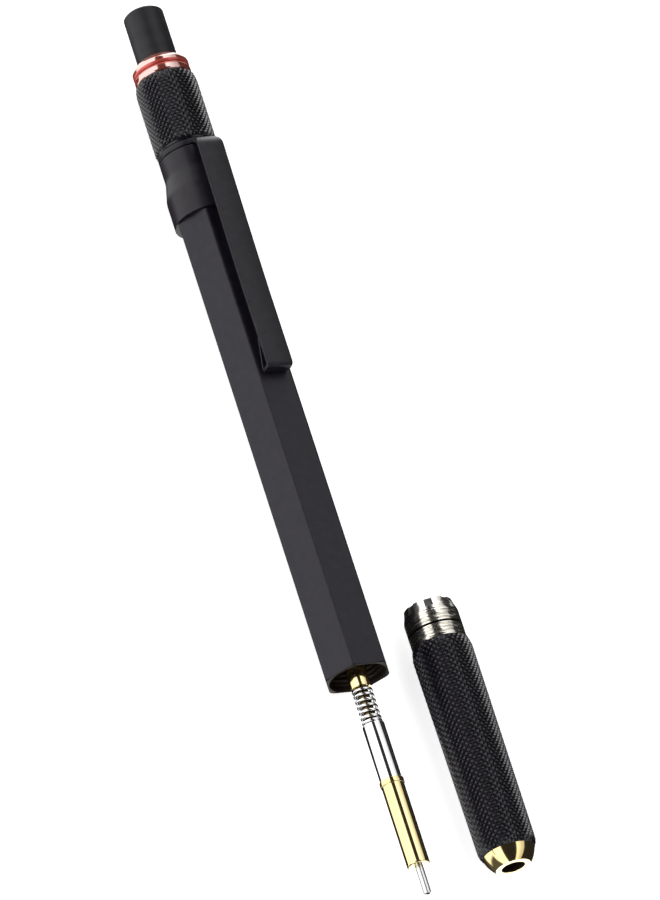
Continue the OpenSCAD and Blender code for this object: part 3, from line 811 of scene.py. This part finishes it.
def make_thread_ring():
    """The ring with a fine thread, a tapered rim with notches, and a sleeve that sits inside the grip."""
    floor_u = RING_TOP - NOTCH_DEPTH
    floor_r = THREAD_R + (RIM_R - THREAD_R) * (floor_u - RIM_U) / (RING_TOP - RIM_U)
    groove_sides = [GROOVE_U + side * (GROOVE_HALF + tiny) for side in (-1, 1) for tiny in (-0.001, 0.001)]
    heights = sorted([RIM_U * k / THREAD_STEPS for k in range(1, THREAD_STEPS + 1)] + groove_sides)
    edge = [(RIM_EDGE_R, RING_TOP), (RING_BORE, RING_TOP - 0.07), (RING_BORE, floor_u)]
    whole_rim = [(3.66, 4.93), (3.57, 5.20), (3.49, 5.52), (3.44, RING_TOP - 0.10), (3.34, RING_TOP)]
    cut_rim = [(3.45, floor_u)] + [(NOTCH_FLOOR, floor_u + 0.41 * k) for k in range(3)]
    cut_rim += [(NOTCH_FLOOR, RING_TOP - 0.03)]

    def column(a, cut):
        line = [(SLEEVE_BORE, RING_LOW), (SLEEVE_BORE, 0), (3.80, 0)]
        line += [(thread_radius(a, u), u) for u in heights]
        line += [(floor_r, floor_u)] + (cut_rim if cut else whole_rim) + edge
        line += [(RING_BORE, 0), (RING_BORE, RING_LOW)]
        return [at(GRIP, r, u, a) for r, u in line]

    half = math.asin(NOTCH_WIDTH / 2 / NOTCH_WIDTH_AT)
    columns = []
    for k in range(NOTCHES):
        middle = math.radians(NOTCH_TURN) + TAU * k / NOTCHES
        columns.append(column(middle - half, False))
        columns += [column(middle + half * s, True) for s in (-1, -0.33, 0.33, 1)]
        columns.append(column(middle + half, False))
        gap = TAU / NOTCHES - 2 * half
        columns += [column(middle + half + gap * j / GAP_STEPS, False) for j in range(1, GAP_STEPS)]
    verts, faces = grid(columns)
    ring = finish_mesh("threaded_ring", verts, faces, [nickel, notch_nickel_painted_shade, bore_painted_shade], 30)
    for poly in ring.data.polygons:
        place = (poly.center - GRIP) / MM
        r = math.hypot(place.x, place.z)
        in_groove = abs(place.y - GROOVE_U) < GROOVE_HALF + 0.01
        upright = abs(poly.normal.y) < 0.9
        # the run-out groove's floor is painted dark: painted shade
        if in_groove and RING_BORE + 0.1 < r < THREAD_R - 0.05:
            poly.material_index = 2
        # the notches' faces take the dark nickel: painted shade
        elif place.y > floor_u - 0.01 and RING_BORE + 0.15 < r < NOTCH_FLOOR + 0.25 and upright:
            poly.material_index = 1
    return ring


thread_ring = make_thread_ring()
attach(thread_ring, "grip")
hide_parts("thread_ring")


# ---------------------------------------------------------------- finishes on the inner CAD pieces, with painted shade on the chuck

INNER = {
    "cam_guide": steel, "snap_ring": steel, "cam_sleeve": plain_brass, "lead_retainer": rubber,
    # the chuck's dark brass is painted shade
    "chuck_ring": plain_brass, "chuck": chuck_painted_shade_brass, "lead": graphite, "spare_lead_a": graphite,
    "spare_lead_b": graphite, "carriage": steel, "follower_pin": steel, "eraser_holder": steel,
    "eraser": eraser_white}
for node_name, material in INNER.items():
    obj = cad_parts[node_name]
    if obj.material_slots:
        for material_slot in obj.material_slots:
            material_slot.material = material
    else:
        obj.data.materials.append(material)


# ---------------------------------------------------------------- stage, light and camera

FLOOR_HALF = 4.0  # metres
FLOOR_GLOW = 0.78
CARD_DEPTH = 0.3  # below the floor


def level_sheet(name, low, high, z, base, rough):
    """A level rectangle between two corners (x, y), in metres, with a plain matt finish of one grey."""
    mesh = bpy.data.meshes.new(name)
    corners = [(low[0], low[1], z), (high[0], low[1], z), (high[0], high[1], z), (low[0], high[1], z)]
    mesh.from_pydata(corners, [], [(0, 1, 2, 3)])
    sheet = bpy.data.objects.new(name, mesh)
    scene.collection.objects.link(sheet)
    material, _, shader = nodes_of(name + "_matt")
    shader.inputs["Base Color"].default_value = (base, base, base, 1)
    shader.inputs["Roughness"].default_value = rough
    shader.inputs["Specular IOR Level"].default_value = 0.0
    mesh.materials.append(material)
    return sheet, shader


floor, floor_shader = level_sheet("floor", (-FLOOR_HALF, -FLOOR_HALF), (FLOOR_HALF, FLOOR_HALF), 0,
                                  0.9, 0.9)
floor_shader.inputs["Emission Color"].default_value = (1, 1, 1, 1)
floor_shader.inputs["Emission Strength"].default_value = FLOOR_GLOW
floor.visible_glossy = False

# a black sheet under the floor between the pencil and the loose grip, which only reflections see: painted
# shade, for the floor shaded by both pieces
painted_shade_card, _ = level_sheet("painted_shade_card", (PENCIL.x - 1 * MM, PENCIL.y - 4 * MM),
                      (GRIP.x - 3.5 * MM, PENCIL.y + 70 * MM), -CARD_DEPTH * MM, 0.01, 1.0)


# strengths of the light
LEFT_BOX, RIGHT_BOX = 2.1, 2.2
TABLE, FAR_END, FRONT_END, ROOM = 1.9, 3.8, 2.9, 0.03
SHADE = 0.95  # the share of the soft boxes' and the table's light that the shaded strips lose
FRONT_MIRROR = (0.461, -0.4125, -0.786)  # the direction that the flat front faces mirror to the camera


def make_world():
    """What the object mirrors: light by direction, much of it set by the angle round the long axis.

    There is a soft box on the left and one above on the right, a glowing table ahead and behind, shade
    low on the left and underneath, a light beyond the far end and one for the flat front faces. The
    camera itself sees plain white.
    """
    world = bpy.data.worlds.new("studio")
    scene.world = world
    world.use_nodes = True
    tree = world.node_tree
    tree.nodes.clear()
    out = tree.nodes.new("ShaderNodeOutputWorld")
    background = tree.nodes.new("ShaderNodeBackground")
    tree.links.new(background.outputs[0], out.inputs[0])
    coords = tree.nodes.new("ShaderNodeTexCoord")
    split = tree.nodes.new("ShaderNodeSeparateXYZ")
    tree.links.new(coords.outputs["Generated"], split.inputs[0])
    x, y, z = split.outputs

    def math_node(kind, *values):
        node = tree.nodes.new("ShaderNodeMath")
        node.operation = kind
        for socket, value in zip(node.inputs, values):
            if isinstance(value, (int, float)):
                socket.default_value = value
            else:
                tree.links.new(value, socket)
        return node.outputs[0]

    def product(a, b):
        return math_node("MULTIPLY", a, b)

    def brighter(a, b):
        return math_node("MAXIMUM", a, b)

    def step_up(value, low, high):
        """From 0 at the first value to 1 at the second, which may be the lower one."""
        node = tree.nodes.new("ShaderNodeMapRange")
        node.interpolation_type = "SMOOTHSTEP"
        tree.links.new(value, node.inputs[0])
        node.inputs["From Min"].default_value, node.inputs["From Max"].default_value = low, high
        return node.outputs[0]

    def band(value, low, high, soft):
        """1 between two values, with edges of a given width."""
        up = step_up(value, low - soft / 2, low + soft / 2)
        down = step_up(value, high - soft / 2, high + soft / 2)
        return math_node("SUBTRACT", up, down)

    # degrees from straight up towards the right; the boxes turn a little where they lie ahead
    angle = product(math_node("ARCTAN2", x, z), 360 / TAU)
    ahead = step_up(y, 0.10, -0.20)
    left = band(math_node("MULTIPLY_ADD", ahead, 17.0, angle), -136, -38, 6)
    right = product(step_up(math_node("MULTIPLY_ADD", ahead, -18.0, angle), -7, -1), step_up(angle, 54, 48))
    right = product(right, map_range(tree, angle, (5, 40), (1.0, 0.45)))
    boxes = math_node("ADD", product(left, LEFT_BOX), product(right, RIGHT_BOX))

    forward = math_node("ADD", product(y, -1.0), product(x, -0.25))
    table = product(step_up(forward, -0.06, 0.14), step_up(z, 0.02, -0.02))
    table = product(table, step_up(x, 0.75, 0.60))
    behind = product(step_up(y, 0.52, 0.64), step_up(z, 0.0, -0.08))

    low_front = product(step_up(angle, -99, -109), step_up(y, -0.16, -0.36))
    under = math_node("ADD", step_up(angle, -146, -156), step_up(angle, 140, 150))
    dark = brighter(low_front, product(under, step_up(y, 0.34, 0.24)))
    shaded = math_node("MULTIPLY_ADD", dark, -SHADE, 1.0)

    far_end = product(step_up(y, 0.74, 0.86), step_up(x, 0.04, 0.18))
    facing = math_node("MULTIPLY_ADD", x, FRONT_MIRROR[0], product(y, FRONT_MIRROR[1]))
    facing = math_node("MULTIPLY_ADD", z, FRONT_MIRROR[2], facing)
    front_end = step_up(facing, 0.95, 0.985)

    total = brighter(product(boxes, shaded), product(product(table, shaded), TABLE))
    total = brighter(total, product(behind, TABLE))
    total = brighter(total, product(far_end, FAR_END))
    total = brighter(total, product(front_end, FRONT_END))
    total = math_node("ADD", total, ROOM)
    paths = tree.nodes.new("ShaderNodeLightPath")
    mix = tree.nodes.new("ShaderNodeMix")
    mix.data_type = "FLOAT"
    tree.links.new(paths.outputs["Is Camera Ray"], mix.inputs[0])
    tree.links.new(total, mix.inputs[2])
    mix.inputs[3].default_value = 1.0  # what the camera itself sees
    tree.links.new(mix.outputs[0], background.inputs["Strength"])


make_world()


AZIMUTH, ELEVATION, ROLL = -48.165, 51.793, 36.728  # degrees
CAMERA_PLACE = (-441.34, -397.28, 757.83)
LENS, SENSOR = 280, 36


def make_camera():
    """A long lens, high on the left of the front end, rolled so that the pencil stands nearly upright."""
    azimuth, elevation, roll = (math.radians(a) for a in (AZIMUTH, ELEVATION, ROLL))
    back = Vector((math.sin(azimuth) * math.cos(elevation), -math.cos(azimuth) * math.cos(elevation),
                   math.sin(elevation)))
    level = Vector((math.cos(azimuth), math.sin(azimuth), 0))
    upright = back.cross(level)
    right = level * math.cos(roll) + upright * math.sin(roll)
    up = back.cross(right)
    data = bpy.data.cameras.new("camera")
    data.sensor_width = SENSOR
    data.lens = LENS
    data.clip_start, data.clip_end = 0.05, 20
    camera = bpy.data.objects.new("camera", data)
    scene.collection.objects.link(camera)
    turn = Matrix((right, up, back)).transposed().to_4x4()
    camera.matrix_world = Matrix.Translation(Vector(CAMERA_PLACE) * MM) @ turn
    scene.camera = camera


make_camera()
scene.view_settings.view_transform = "Standard"

bpy.context.view_layer.update()
